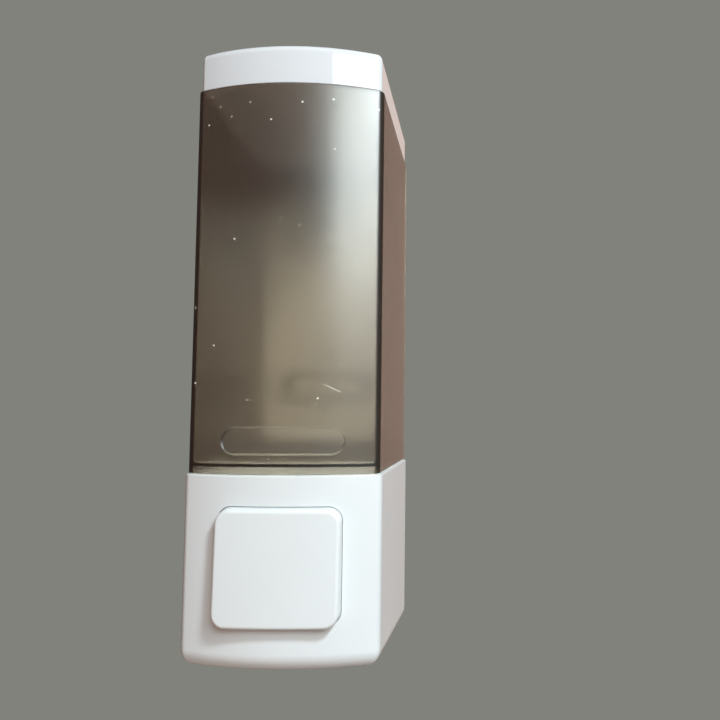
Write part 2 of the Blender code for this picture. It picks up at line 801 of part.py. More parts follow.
def build_pump_gland():
    front, shoulder, spigot = GLAND_Y
    profile = [
        (PISTON, spigot),
        (PISTON, shoulder),
        (BARREL, shoulder),
        (BARREL, front),
        (ROD + SLIDE_GAP, front),
        (ROD + SLIDE_GAP, spigot),
    ]
    gland = turned("pump_gland", profile, (0, 0, BUTTON_Z), Y_AXIS, 24)
    return finish_part(gland, (CLEAR_GREY, 0.4))


def ring(name, outer, inner, low, high, look):
    """A plain ring round the tank outlet's axis."""
    profile = [(outer, high), (outer, low), (inner, low), (inner, high)]
    return finish_part(turned(name, profile, (0, OUTLET_Y, 0), Z_AXIS, 24), look)


def build_tank_locknut():
    nut = cylinder("tank_locknut", NUT_RADIUS, (0, OUTLET_Y, NUT_Z[0]), (0, OUTLET_Y, NUT_Z[1]), 6)
    cut(nut, port_cylinder("nut_hole", NECK + GAP, NUT_Z[0] - PAST, NUT_Z[1] + PAST))
    return finish_part(nut, (PUMP_WHITE, 0.45), smooth=False)


def build_nozzle():
    """A cup pushed over the outlet tube, narrowing to the spout."""
    bore = PORT_TUBE + GAP
    cup = PORT_TUBE + CUP_WALL
    profile = [
        (cup, CUP_FLOOR_Z + CUP_HEIGHT + CUP_WALL),
        (cup, CUP_FLOOR_Z - 2 * CUP_WALL),
        (SPOUT_TOP, CUP_FLOOR_Z - 4 * CUP_WALL),
        (SPOUT_TIP, SPOUT_TIP_Z + SPOUT_BEVEL),
        (SPOUT_TIP - SPOUT_BEVEL, SPOUT_TIP_Z),
        (SPOUT_BORE, SPOUT_TIP_Z),
        (SPOUT_BORE, CUP_FLOOR_Z),
        (bore, CUP_FLOOR_Z),
        (bore, CUP_FLOOR_Z + CUP_HEIGHT + CUP_WALL),
    ]
    nozzle = turned("nozzle", profile, (0, OUTLET_Y, 0), Z_AXIS, 24)
    return finish_part(nozzle, (PUMP_WHITE, 0.35))


def build_outlet_spring():
    bottom = CUP_FLOOR_Z + GAP + VALVE_WIRE
    length = OUTLET_BALL_Z - VALVE_SPRING_DROP - bottom
    start = (0, OUTLET_Y, bottom)
    spring = coil("outlet_spring", start, Z_AXIS, length, VALVE_COIL, VALVE_WIRE, VALVE_TURNS, 10)
    return finish_part(spring, (STEEL, 0.3, 1.0), origin=start)


def build_screw(name, place, size, toward):
    """A pan head screw along Y. place is the middle of its head's seat, toward its point's side."""
    length, shank, head = size
    tip_length, tip = SCREW_TIP
    profile = [
        (0.0, SCREW_HEAD_HEIGHT),
        (head * 0.7, SCREW_HEAD_HEIGHT),
        (head, SCREW_HEAD_HEIGHT * 0.55),
        (head, 0.0),
        (shank, 0.0),
        (shank, tip_length - length),
        (tip, -length),
        (0.0, -length),
    ]
    screw = turned(name, profile, place, -toward * Y_AXIS, SMALL_ROUND)
    x, seat_y, z = place
    outside = seat_y - toward * (SCREW_HEAD_HEIGHT + PAST)
    depth = sorted((outside, seat_y - toward * SCREW_HEAD_HEIGHT * 0.35))
    for i, arms in enumerate((RECESS_ARMS, RECESS_ARMS[::-1])):
        half_x, half_z = (head * share for share in arms)
        low = (x - half_x, depth[0], z - half_z)
        high = (x + half_x, depth[1], z + half_z)
        cut(screw, box(f"{name}_recess_{i}", low, high))
    return finish_part(screw, (STEEL, 0.35, 1.0), origin=place)


def build_screws():
    for i, (x, z) in enumerate(COVER_SCREWS):
        build_screw(f"cover_screw_{i + 1}", (x, COVER_Y[1] + GAP, z), COVER_SCREW, -1)
    for i, side in enumerate((-1, 1)):
        place = (side * PUMP_SCREW_X, PUMP_FLANGE_Y[0] - GAP, BUTTON_Z)
        build_screw(f"pump_screw_{i + 1}", place, PUMP_SCREW, 1)


def build_valves():
    valve = (0, OUTLET_Y)
    for name, z in (("inlet_ball", INLET_BALL_Z), ("outlet_ball", OUTLET_BALL_Z)):
        finish_part(ball(name, BALL, (*valve, z)), (STEEL, 0.15, 1.0), origin=(*valve, z))
    seat = (VALVE_BORE - GAP, VALVE_HOLE, INLET_SEAT_BOTTOM, INLET_TOP - GAP)
    ring("inlet_seat", *seat, (CLEAR_GREY, 0.4))
    ring("outlet_gasket", *GASKET, INLET_TOP + GAP, NECK_END - GAP, (SILICONE, 0.6))
    build_outlet_spring()


def main():
    build_wall_bracket()
    build_tank()
    build_lid()
    build_base_housing()
    build_rear_cover()
    build_push_button()
    build_piston()
    build_piston_seal()
    build_return_spring()
    build_pump_body()
    build_pump_gland()
    build_tank_locknut()
    build_nozzle()
    build_valves()
    build_screws()


main()
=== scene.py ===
"""Looks of the wall mounted soap dispenser: finer shells, springs, materials, light and camera.

Everything is in metres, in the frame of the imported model: the wall is y = 0, the front faces -Y,
+X is to the right and +Z is up. The four shells that show are built again with finer curves and
rounded edges, in the space of their plain solids. The other solids keep their shape and get better
materials.
"""

import math

import bmesh
import bpy
from mathutils import Matrix, Vector


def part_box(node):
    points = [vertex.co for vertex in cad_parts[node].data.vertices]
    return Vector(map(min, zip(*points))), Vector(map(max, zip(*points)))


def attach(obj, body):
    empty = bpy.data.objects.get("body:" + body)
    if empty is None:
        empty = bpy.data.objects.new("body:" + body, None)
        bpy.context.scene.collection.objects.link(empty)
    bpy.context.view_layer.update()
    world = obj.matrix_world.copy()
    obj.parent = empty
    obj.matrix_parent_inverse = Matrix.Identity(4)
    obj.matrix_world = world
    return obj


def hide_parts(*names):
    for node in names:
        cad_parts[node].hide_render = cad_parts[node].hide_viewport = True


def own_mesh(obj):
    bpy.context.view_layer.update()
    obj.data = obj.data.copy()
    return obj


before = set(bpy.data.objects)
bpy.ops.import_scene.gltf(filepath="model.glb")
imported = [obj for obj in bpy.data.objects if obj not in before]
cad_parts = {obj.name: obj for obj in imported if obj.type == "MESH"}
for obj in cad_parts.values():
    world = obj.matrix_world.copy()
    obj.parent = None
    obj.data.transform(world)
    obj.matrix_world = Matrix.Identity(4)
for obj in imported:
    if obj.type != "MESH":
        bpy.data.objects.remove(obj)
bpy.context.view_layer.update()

TANK_LOW, TANK_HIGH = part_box("tank")
BASE_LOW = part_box("base_housing")[0]
LID_LOW, LID_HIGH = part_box("lid")
BUTTON_LOW, BUTTON_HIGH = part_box("push_button")

# Shared plan: flat sides, a bowed front and rounded front corners. Steps along rounds and bows
WIDTH = TANK_HIGH.x - TANK_LOW.x
BOW = 0.0072
FRONT_Y = TANK_LOW.y
CORNER = 0.0030
LEAST_CORNER = 0.0006
LEAST_SPAN = 0.00001
REAR_CORNER = 0.0005
REAR_Y = TANK_HIGH.y
BOW_STEPS = 44
CORNER_STEPS = 12
FINE_STEPS = 3
LID_FILLET_STEPS = 9
BASE_FILLET_STEPS = 12
BASE_INSIDE_STEPS = 6
BUTTON_FILLET_STEPS = 8
OUTLINE_STEPS = 10
COLUMNS = 30
BOW_RADIUS = (WIDTH**2 / 4 + BOW**2) / (2 * BOW)
CHORD_Y = FRONT_Y + BOW

# Clearances, how far a cutter runs past a face, a place in front of everything, and edge rounding
GAP = 0.0003
SLIDE_GAP = 0.0004
PAST = 0.002
IN_FRONT_Y = -0.100
EDGE = 0.00035
WELD = 0.000002

# Edges sharper than this stay sharp
SHELL_SHARP = math.radians(32)
COIL_SHARP = math.radians(40)

# Heights
SEAM = TANK_HIGH.z + GAP
SEAM_RISE = 0.0020
UNDERSIDE_DROP = 0.0041

# Tank
TANK_WALL = 0.0020
TANK_FLOOR = -0.0680
TANK_BACK_Y = -0.0110
RECESS_Y = -0.0090
RECESS_HALF = 0.0330
FLOOR_FILLET = 0.0014
FLOOR_FILLET_STEPS = 5
FLOOR_WALL = 0.0010
OUTLET_Y = -0.0380
NECK = 0.0080
NECK_BORE = 0.0050

# Badge pocket: its place and half size in X and Z, its sides' (inset, depth) and its foot's inset
BADGE = (0.0009, -0.0597)
BADGE_HALF = (0.02235, 0.00515)
BADGE_EASE = (0.00050, 0.00034)
BADGE_FOOT = 0.00070
BADGE_DEPTH = 0.00080

# Hook rails on the tank's back, over the bracket's two hooks
HOOK_HEAD_HALF = 0.0170
HOOK_STEM_HALF = 0.0120
HOOK_HEIGHT = 0.0080
HOOK_HEAD_REAR_Y = -0.0053
BRACKET_FRONT_Y = -0.0030
HOOK_BOTTOMS = (-0.0400, 0.0320)
RAIL_HALF = 0.0200
RAIL_BAR = 0.0025

# Smoked plastic: its absorption, its outside, how rough its inside is next to that, and its marks
SMOKE = (0.615, 0.555, 0.465)
SMOKE_DENSITY = 400.0
CLEAR = ((0.97, 0.96, 0.94), (0.93, 0.92, 0.90))
SATIN = (0.285, 0.34)
COAT = 0.38
COAT_WEIGHT = 0.95
GRAIN_SCALE = 1200
GRAIN_DEPTH = 0.000035
INNER_SHARE = 0.32
DUST = (0.82, 0.80, 0.74)
DUST_SCALE = 120
DUST_REACH = (0.04, 0.06)
SCRATCH = ((0.0151, -0.0842, -0.0393), (0.0214, -0.0828, -0.0421))
SCRATCH_WIDTH = 0.00022
SCRATCH_DUST = 0.8

# Other colours, each with the one it clouds towards, in linear colours
SHELL_WHITE = ((0.80, 0.815, 0.825), (0.78, 0.795, 0.80))
LID_WHITE = ((0.70, 0.70, 0.72), (0.68, 0.68, 0.70))
PLAIN_WHITE = ((0.86, 0.85, 0.83), (0.82, 0.81, 0.79))
PUMP_WHITE = ((0.74, 0.73, 0.69), (0.66, 0.65, 0.61))
PUMP_GREY = ((0.42, 0.43, 0.43), (0.36, 0.37, 0.37))
PALE_FLOOR = ((0.78, 0.77, 0.75), (0.74, 0.73, 0.71))
STEEL = ((0.63, 0.62, 0.60), (0.50, 0.49, 0.47))
MILKY = ((0.66, 0.64, 0.59), (0.56, 0.54, 0.50))

# The parts of a noise's range that are stretched over a whole change of colour or of roughness,
# and the depth of fine bumps
FLOW_RANGE = (0.35, 0.68)
CLOUD_RANGE = (0.35, 0.7)
RUB_RANGE = (0.3, 0.7)

FINE_BUMP = 0.00001

# A moulded skin: the scale and the depth of its bumps
SKIN = (700, 0.000012)
GLOSS_SKIN = (500, 0.000004)
PLAIN_SKIN = (900, 0.00003)
PUMP_SKIN = (800, 0.00002)

# Light, in linear colours
LIT_POINT = (0.0, -0.085, 0.0)
BACKDROP = (0.219, 0.223, 0.198)
FRONT_AMBIENT = ((0.0, (0.20, 0.12, 0.09)), (0.5, (0.22, 0.16, 0.13)), (1.0, (0.28, 0.22, 0.19)))
REAR_AMBIENT = (
    (0.0, (0.04, 0.03, 0.025)),
    (0.48, (0.025, 0.018, 0.015)),
    (0.53, (0.75, 0.52, 0.42)),
    (0.60, (0.75, 0.52, 0.42)),
    (0.63, (0.03, 0.022, 0.018)),
    (1.0, (0.20, 0.15, 0.12)),
)
REAR_FROM_TO = (-0.2, 0.5)

# Lamps: azimuth, elevation, width and height, radiance and colour
LAMP_DISTANCE = 1.25
LAMPS = {
    "window": (28.0, 24.0, (0.69, 0.48), 9.0, (0.86, 0.99, 1.02)),
    "key": (43.0, 40.0, (0.18, 0.18), 128.0, (0.86, 0.99, 1.04)),
    "warm_low": (-40.0, -45.0, (0.50, 0.50), 1.2, (1.0, 0.58, 0.40)),
}

# Floor, as far below as such a dispenser hangs above one
STAGE_Z = -1.25
STAGE_RADIUS = 1.5

# Camera, at the photograph's viewing angle
CAMERA_PLACE = (0.0725, -0.3327, -0.0551)
CAMERA_YAW = 0.0118
CAMERA_PITCH = 0.0693
CAMERA_ROLL = 0.0023
SENSOR_WIDTH = 36.0
LENS = 34.96
SHIFT = (-0.1597, 0.0278)

# Lid
LID_INSET = 0.0009
LID_FILLET = 0.0033
LID_WALL = 0.0020
LIP_WALL = 0.0014
LIP_FREE_DEPTH = 0.0300

# Base
BASE_OUTSET = 0.0009
BASE_FILLET = 0.0062
BASE_WALL = 0.0022
BASE_BOTTOM = BASE_LOW.z + UNDERSIDE_DROP
SPOUT_HOLE = 0.0062
BOSS = 0.0038
BOSS_HOLE = 0.0017
BOSS_Y = (-0.0170, -0.0057)

# Push button
FLANGE = 0.0015
BUTTON_HALF = (BUTTON_HIGH.x - FLANGE, (BUTTON_HIGH.z - BUTTON_LOW.z) / 2 - FLANGE)
BUTTON_RADIUS = 0.0050
BUTTON_X = (BUTTON_HIGH.x + BUTTON_LOW.x) / 2
BUTTON_Z = (BUTTON_HIGH.z + BUTTON_LOW.z) / 2
BUTTON_PROUD = 0.0034
BUTTON_BOW = 0.0014
BUTTON_LEAN = 0.0008
BUTTON_DRAFT = 0.0009
BUTTON_FILLET = 0.0012
BUTTON_GAP = 0.0002
BUTTON_PLATE = 0.0024
BUTTON_SKIRT = 0.0018
BUTTON_REAR_Y = -0.0745
COLLAR_WALL = 0.0016
COLLAR_REAR_Y = BUTTON_REAR_Y - FLANGE - GAP
SOCKET = 0.0047
SOCKET_REAR_Y = -0.0800
ROD = 0.0030
ROD_FRONT_Y = -0.0872

# Springs: wire radius and number of turns, and the pitch of a closed turn in wire radii
SPRINGS = {"return_spring": (0.00055, 8), "outlet_spring": (0.00025, 6)}
CLOSED_PITCH = 2.05
COIL_STEPS = 32
BUTTON_TRAVEL = 0.005
OUTLET_TRAVEL = 0.0012


def new_object(name, bm):
    bmesh.ops.recalc_face_normals(bm, faces=bm.faces)
    mesh = bpy.data.meshes.new(name)
    bm.to_mesh(mesh)
    bm.free()
    obj = bpy.data.objects.new(name, mesh)
    bpy.context.scene.collection.objects.link(obj)
    return obj


def realise(obj, *helpers):
    """The same object with its modifiers or its curve made into one welded mesh in world space."""
    bpy.context.view_layer.update()
    evaluated = obj.evaluated_get(bpy.context.evaluated_depsgraph_get())
    mesh = bpy.data.meshes.new_from_object(evaluated)
    mesh.transform(obj.matrix_world)
    name = obj.name
    for old in (obj, *helpers):
        bpy.data.objects.remove(old, do_unlink=True)
    bm = bmesh.new()
    bm.from_mesh(mesh)
    bmesh.ops.remove_doubles(bm, verts=bm.verts, dist=WELD)
    bpy.data.meshes.remove(mesh)
    return new_object(name, bm)


def combine(obj, operation, *others):
    """Cuts the others out of obj, or joins them to it, one after another."""
    for other in others:
        boolean = obj.modifiers.new(other.name, "BOOLEAN")
        boolean.operation = operation
        boolean.solver = "EXACT"
        boolean.object = other
    return realise(obj, *others)


def cut(obj, *others):
    return combine(obj, "DIFFERENCE", *others)


def join(obj, *others):
    return combine(obj, "UNION", *others)


def box(name, low, high):
    bm = bmesh.new()
    size = [b - a for a, b in zip(low, high)]
    centre = [(a + b) / 2 for a, b in zip(low, high)]
    place = Matrix.Translation(centre) @ Matrix.Diagonal((*size, 1))
    bmesh.ops.create_cube(bm, size=1.0, matrix=place)
    return new_object(name, bm)


def cylinder(name, radius, start, end, segments=48):
    start, end = Vector(start), Vector(end)
    along = end - start
    turn = Vector((0, 0, 1)).rotation_difference(along).to_matrix().to_4x4()
    bm = bmesh.new()
    bmesh.ops.create_cone(
        bm,
        cap_ends=True,
        segments=segments,
        radius1=radius,
        radius2=radius,
        depth=along.length,
        matrix=Matrix.Translation((start + end) / 2) @ turn,
    )
    return new_object(name, bm)


def bow_y(x, inset=0.0):
    """Where the bowed front lies at x, moved inwards by inset."""
    return FRONT_Y + BOW_RADIUS - math.sqrt((BOW_RADIUS - inset) ** 2 - x**2)


def arc(centre, radius, start, end, steps):
    """Points on an arc, both ends included."""
    angles = (start + (end - start) * i / steps for i in range(steps + 1))
    return [(centre[0] + radius * math.cos(a), centre[1] + radius * math.sin(a)) for a in angles]


def plan(inset, rear_y=REAR_Y, rear_corner=REAR_CORNER):
    """The shared plan moved inwards by inset, from the left rear corner round the front."""
    half = WIDTH / 2 - inset
    corner = max(CORNER - inset, LEAST_CORNER)
    centre_y = FRONT_Y + BOW_RADIUS
    reach = BOW_RADIUS - inset
    corner_y = centre_y - math.sqrt((reach - corner) ** 2 - (half - corner) ** 2)
    meet = math.atan2(corner_y - centre_y, half - corner)
    front = arc((0, centre_y), reach, -math.pi - meet, meet, BOW_STEPS)
    right = arc((half - corner, corner_y), corner, meet, 0, CORNER_STEPS)[1:]
    rear_centre = (half - rear_corner, rear_y - rear_corner)
    rear = arc(rear_centre, rear_corner, 0, math.pi / 2, FINE_STEPS)
    right += rear
    left = [(-x, y) for x, y in reversed(right)]
    return [*left, *front, *right]


def level(z, rise=0.0):
    """A plane at height z at the chord of the front, that rises by rise towards the wall."""
    return lambda y: z + rise * (y - CHORD_Y) / -CHORD_Y


def loft(name, sections):
    """A solid through plan outlines, each at its own level, from the lowest up."""
    bm = bmesh.new()
    rings = [[bm.verts.new((x, y, height(y))) for x, y in outline] for outline, height in sections]
    for lower, upper in zip(rings, rings[1:]):
        for i in range(len(lower)):
            after = (i + 1) % len(lower)
            bm.faces.new((lower[i], lower[after], upper[after], upper[i]))
    bm.faces.new(rings[0])
    bm.faces.new(rings[-1])
    return new_object(name, bm)


def fillet(radius, steps):
    """(inset, rise) along a quarter round, from the rounded end to the full outline."""
    return [
        (radius * (1 - math.cos(angle)), radius * (1 - math.sin(angle)))
        for angle in (math.pi / 2 * (1 - i / steps) for i in range(steps + 1))
    ]


def shell_sections(inset, bottom, top, bottom_round, top_round, rear_y=REAR_Y, slopes=(0.0, 0.0)):
    """Plan sections of a block with a round along its lower edge and one along its upper edge."""
    sections = []
    for (radius, steps), sign in ((bottom_round, 1), (top_round, -1)):
        rings = []
        for round_inset, rise in fillet(radius, steps):
            rear_inset = min(round_inset, EDGE)
            outline = plan(inset + round_inset, rear_y - rear_inset)
            place = level(bottom + rise, slopes[0]) if sign > 0 else level(top - rise, slopes[1])
            rings.append((outline, place))
        sections += rings if sign > 0 else reversed(rings)
    return sections


def rounded_outline(half, radius, centre):
    """A rounded rectangle in X and Z, anticlockwise from its right side."""
    points = []
    corners = ((1, 1, 0), (-1, 1, 1), (-1, -1, 2), (1, -1, 3))
    for side_x, side_z, quarter in corners:
        reach_x, reach_z = half[0] - radius, half[1] - radius
        centre_x, centre_z = centre[0] + side_x * reach_x, centre[1] + side_z * reach_z
        start = quarter * math.pi / 2
        points += arc((centre_x, centre_z), radius, start, start + math.pi / 2, OUTLINE_STEPS)
    return points


def slab(name, outline, y_range):
    """A flat outline in X and Z, thickened along Y."""
    bm = bmesh.new()
    front, back = ([bm.verts.new((x, y, z)) for x, z in outline] for y in y_range)
    for i in range(len(outline)):
        after = (i + 1) % len(outline)
        bm.faces.new((front[i], front[after], back[after], back[i]))
    bm.faces.new(front)
    bm.faces.new(back)
    return new_object(name, bm)


def finish_shell(obj, looks, body, *nodes):
    """Shades a finished shell, gives it its material and puts it in place of its plain solid."""
    obj.data.materials.clear()
    obj.data.materials.append(looks)
    obj.data.shade_smooth()
    obj.data.set_sharp_from_angle(angle=SHELL_SHARP)
    weighted = obj.modifiers.new("weighted_normals", "WEIGHTED_NORMAL")
    weighted.keep_sharp = True
    weighted.weight = 100
    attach(obj, body)
    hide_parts(*nodes)
    return obj


def build_tank(looks):
    """The tank: walls, thin floor with a rim under it, outlet neck, rear recess with hook rails
    and badge pocket.
    """
    outer = shell_sections(
        0, -SEAM + GAP, SEAM - GAP, (EDGE, FINE_STEPS), (EDGE, FINE_STEPS), slopes=(SEAM_RISE, 0)
    )
    tank = loft("tank_shell", outer)
    cavity = loft(
        "tank_cavity",
        [
            *(
                (plan(TANK_WALL + inset, TANK_BACK_Y - inset), level(TANK_FLOOR + rise))
                for inset, rise in fillet(FLOOR_FILLET, FLOOR_FILLET_STEPS)
            ),
            (plan(TANK_WALL, TANK_BACK_Y), level(SEAM + PAST)),
        ],
    )
    rim_plan = plan(TANK_WALL, TANK_BACK_Y)
    rim_inside = loft(
        "tank_rim_inside",
        [(rim_plan, level(-SEAM - PAST)), (rim_plan, level(TANK_FLOOR - FLOOR_WALL))],
    )
    recess_end = SEAM + PAST
    low, high = (-RECESS_HALF, RECESS_Y, -recess_end), (RECESS_HALF, PAST, recess_end)
    tank = cut(tank, cavity, rim_inside, box("tank_recess", low, high))
    neck_end = TANK_LOW.z
    neck = cylinder("neck", NECK, (0, OUTLET_Y, TANK_FLOOR - GAP), (0, OUTLET_Y, neck_end))
    bore_ends = ((0, OUTLET_Y, TANK_FLOOR + PAST), (0, OUTLET_Y, neck_end - PAST))
    tank = join(tank, neck, *hook_rails())
    tank = cut(tank, cylinder("neck_bore", NECK_BORE, *bore_ends), badge_pocket())
    return finish_shell(tank, looks, "dispenser", "tank")


def hook_rails():
    """Two pairs of L-shaped rails with a bar across their top, over the bracket's hooks."""
    front = RECESS_Y - TANK_WALL / 2
    lip_front, rear = HOOK_HEAD_REAR_Y + GAP, BRACKET_FRONT_Y - GAP
    pieces = []
    for i, bottom in enumerate(HOOK_BOTTOMS):
        top = bottom + HOOK_HEIGHT + GAP
        for side, name in ((-1, "left"), (1, "right")):
            web = sorted((side * (HOOK_HEAD_HALF + 2 * GAP), side * RAIL_HALF))
            lip = sorted((side * (HOOK_STEM_HALF + 2 * GAP), side * RAIL_HALF))
            web_ends = (web[0], front, bottom), (web[1], rear, top)
            lip_ends = (lip[0], lip_front, bottom), (lip[1], rear, top)
            pieces.append(box(f"rail_web_{name}_{i}", *web_ends))
            pieces.append(box(f"rail_lip_{name}_{i}", *lip_ends))
        bar_ends = (-RAIL_HALF, front, top), (RAIL_HALF, rear, top + RAIL_BAR)
        pieces.append(box(f"rail_bar_{i}", *bar_ends))
    return pieces


def badge_pocket():
    """A shallow stadium-shaped pocket with sloping sides, for a name plate, in the bowed front."""
    ease, ease_depth = BADGE_EASE
    rings = [
        (-PAST * ease / ease_depth, 0.0, lambda x, z: bow_y(x) - PAST),
        (ease, 0.0, lambda x, z: bow_y(x, ease_depth)),
        (BADGE_FOOT, 0.0, lambda x, z: bow_y(x, BADGE_DEPTH)),
    ]
    return bowed_block("badge_pocket", BADGE_HALF, BADGE_HALF[1], rings, BADGE)


def swept(name, points, radius):
    """A round wire along a line of points."""
    data = bpy.data.curves.new(name, "CURVE")
    data.dimensions = "3D"
    spline = data.splines.new("POLY")
    spline.points.add(len(points) - 1)
    for point, place in zip(spline.points, points):
        point.co = (*place, 1)
    data.bevel_depth = radius
    data.bevel_resolution = 3
    data.use_fill_caps = True
    obj = bpy.data.objects.new(name, data)
    bpy.context.scene.collection.objects.link(obj)
    return realise(obj)


def build_lid(looks):
    """The lid: a rounded cap with a plug lip that stands in the tank's mouth."""
    top = LID_HIGH.z
    rounds = (EDGE, FINE_STEPS), (LID_FILLET, LID_FILLET_STEPS)
    sections = shell_sections(LID_INSET, SEAM, top, *rounds)
    lid = loft("lid_shell", sections)
    inside_plan = plan(LID_INSET + LID_WALL, REAR_Y - LID_WALL)
    inside = loft(
        "lid_inside",
        [(inside_plan, level(SEAM - PAST)), (inside_plan, level(top - LID_WALL))],
    )
    lip_inset = TANK_WALL + SLIDE_GAP
    lip_rear = TANK_BACK_Y - SLIDE_GAP
    lip_bottom = LID_LOW.z
    lip_plan = plan(lip_inset, lip_rear)
    lip = loft(
        "lid_lip",
        [
            (plan(lip_inset + EDGE, lip_rear - EDGE), level(lip_bottom)),
            (lip_plan, level(lip_bottom + EDGE)),
            (lip_plan, level(top - LID_WALL / 2)),
        ],
    )
    lip_plan = plan(lip_inset + LIP_WALL, lip_rear - LIP_WALL)
    lip_inside = loft(
        "lid_lip_inside",
        [(lip_plan, level(lip_bottom - PAST)), (lip_plan, level(top - LID_WALL))],
    )
    front_free = box(
        "lip_front_free",
        (-WIDTH, IN_FRONT_Y, lip_bottom - PAST),
        (WIDTH, CHORD_Y + LIP_FREE_DEPTH, SEAM),
    )
    lid = join(cut(lid, inside), cut(lip, lip_inside, front_free))
    return finish_shell(lid, looks, "lid", "lid")


def build_base(looks):
    """The base: open at the back, with the button's opening and sleeve, and four screw bosses."""
    top = -SEAM
    bottom_round = (BASE_FILLET, BASE_FILLET_STEPS)
    slopes = (-UNDERSIDE_DROP, SEAM_RISE)
    outer = shell_sections(
        -BASE_OUTSET, BASE_BOTTOM, top, bottom_round, (EDGE, FINE_STEPS), slopes=slopes
    )
    base = loft("base_shell", outer)
    inner_inset = BASE_WALL - BASE_OUTSET
    inner_round = (BASE_FILLET - BASE_WALL, BASE_INSIDE_STEPS)
    inner = shell_sections(
        inner_inset, BASE_BOTTOM + BASE_WALL, top - BASE_WALL, inner_round, (EDGE, 1), PAST, slopes
    )
    base = cut(base, loft("base_cavity", inner))
    base = join(base, button_sleeve(), *screw_bosses())
    opening = slab("button_opening", button_outline(BUTTON_GAP), (IN_FRONT_Y, COLLAR_REAR_Y + PAST))
    deck = (top - BASE_WALL - PAST, top + SEAM_RISE + PAST)
    floor = (BASE_LOW.z - PAST, BASE_BOTTOM + BASE_WALL + PAST)
    neck_hole = cylinder("neck_hole", NECK + SLIDE_GAP, *((0, OUTLET_Y, z) for z in deck))
    spout_hole = cylinder("spout_hole", SPOUT_HOLE, *((0, OUTLET_Y, z) for z in floor))
    base = cut(base, opening, neck_hole, spout_hole, *boss_holes())
    return finish_shell(base, looks, "dispenser", "base_housing")


def button_outline(grow):
    half = [side + grow for side in BUTTON_HALF]
    return rounded_outline(half, BUTTON_RADIUS + grow, (BUTTON_X, BUTTON_Z))


def button_sleeve():
    """The sleeve behind the base's front wall that guides the button."""
    outline = button_outline(SLIDE_GAP + COLLAR_WALL)
    sleeve = slab("button_sleeve", outline, (IN_FRONT_Y, COLLAR_REAR_Y))
    core_plan = plan(BASE_WALL / 2 - BASE_OUTSET, 0.0)
    core = loft("sleeve_core", [(core_plan, level(BASE_BOTTOM)), (core_plan, level(-SEAM))])
    return combine(sleeve, "INTERSECT", core)


def boss_places():
    """The four bosses' places: where the cover's screws are."""
    for i in range(4):
        low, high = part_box(f"cover_screw_{i + 1}")
        yield (low.x + high.x) / 2, (low.z + high.z) / 2


def screw_bosses():
    start, end = BOSS_Y
    return [
        cylinder(f"screw_boss_{i}", BOSS, (x, start, z), (x, end, z), 32)
        for i, (x, z) in enumerate(boss_places())
    ]


def boss_holes():
    start, end = BOSS_Y[0] + PAST / 2, BOSS_Y[1] + PAST
    return [
        cylinder(f"boss_hole_{i}", BOSS_HOLE, (x, start, z), (x, end, z), 20)
        for i, (x, z) in enumerate(boss_places())
    ]


def bowed_block(name, half, radius, rings, centre=(BUTTON_X, BUTTON_Z)):
    """A rounded block along Y, from its front back.

    Each ring is (inset, drop of its upper edge, y as a function of x and z).
    """
    bm = bmesh.new()
    loops = []
    for inset, drop, place in rings:
        half_width, half_height = half[0] - inset, half[1] - inset
        corner = min(max(radius - inset, LEAST_CORNER), half_height - LEAST_SPAN)
        span, rise = half_width - corner, half_height - corner
        left = arc((-span, rise), corner, math.pi, math.pi / 2, OUTLINE_STEPS)
        top = [(-span + 2 * span * i / COLUMNS, half_height) for i in range(1, COLUMNS)]
        upper = [*left, *top, *((-x, z) for x, z in reversed(left))]
        loop = []
        for scale in (1 - drop / half[1], -1):
            row = [(x, z * scale) for x, z in upper]
            places = [(centre[0] + x, place(centre[0] + x, z), centre[1] + z) for x, z in row]
            loop.append([bm.verts.new(point) for point in places])
        loops.append(loop)
    for (top, bottom), (next_top, next_bottom) in zip(loops, loops[1:]):
        ring = [*top, *reversed(bottom)]
        next_ring = [*next_top, *reversed(next_bottom)]
        for i in range(len(ring)):
            after = (i + 1) % len(ring)
            bm.faces.new((ring[i], ring[after], next_ring[after], next_ring[i]))
    for top, bottom in (loops[0], loops[-1]):
        for i in range(len(top) - 1):
            bm.faces.new((top[i], top[i + 1], bottom[i + 1], bottom[i]))
    return new_object(name, bm)


def button_face(x, z):
    """The button's front at a place on it: flatter than the base's, and further out at its foot."""
    middle = bow_y(BUTTON_X, -BASE_OUTSET - BUTTON_PROUD)
    across = (x - BUTTON_X) / BUTTON_HALF[0]
    return middle + BUTTON_BOW * across**2 + BUTTON_LEAN * z / BUTTON_HALF[1]


def flat(y):
    """A ring's place that is the same all over."""
    return lambda x, z: y


